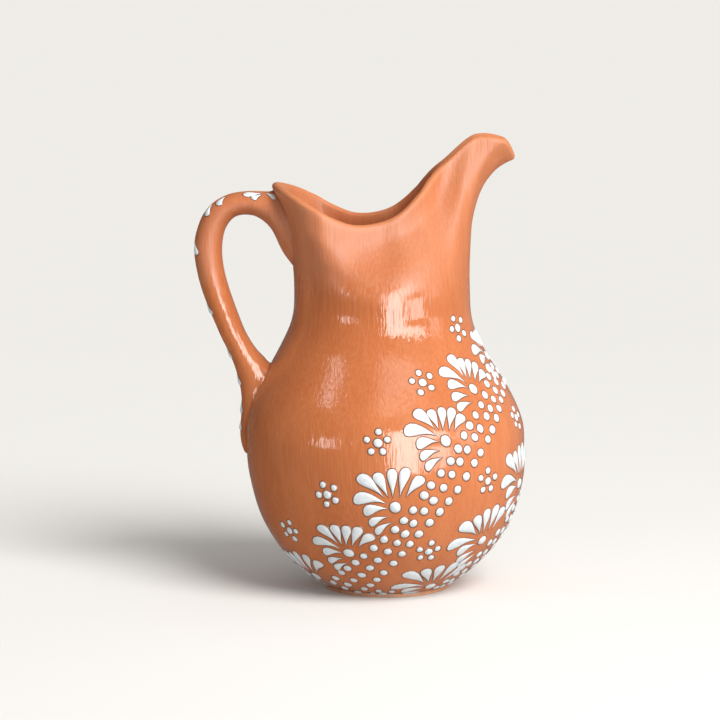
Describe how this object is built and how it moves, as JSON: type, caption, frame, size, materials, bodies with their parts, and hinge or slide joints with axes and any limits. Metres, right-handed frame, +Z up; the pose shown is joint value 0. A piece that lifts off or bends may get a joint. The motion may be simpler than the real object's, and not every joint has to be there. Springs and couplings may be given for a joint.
{
  "type": "ceramic pitcher",
  "caption": "Glazed terracotta pitcher with a round belly, a saddle-shaped mouth, a tall curled beak and a pulled handle, on a slim turned foot.",
  "frame": {"origin": "centre of the foot's flat underside, on the axis of the belly", "axes": "+Z up, +X towards the tip of the beak, so the handle is at -X"},
  "size_m": [0.1927, 0.1628, 0.2652],
  "materials": {
    "glazed_terracotta": "glossy",
    "foot_clay": "satin",
    "white_slip": "glossy"
  },
  "bodies": {
    "root": {"body": "glazed_terracotta", "spout": "glazed_terracotta", "foot": "foot_clay", "handle": "glazed_terracotta"}
  },
  "joints": []
}
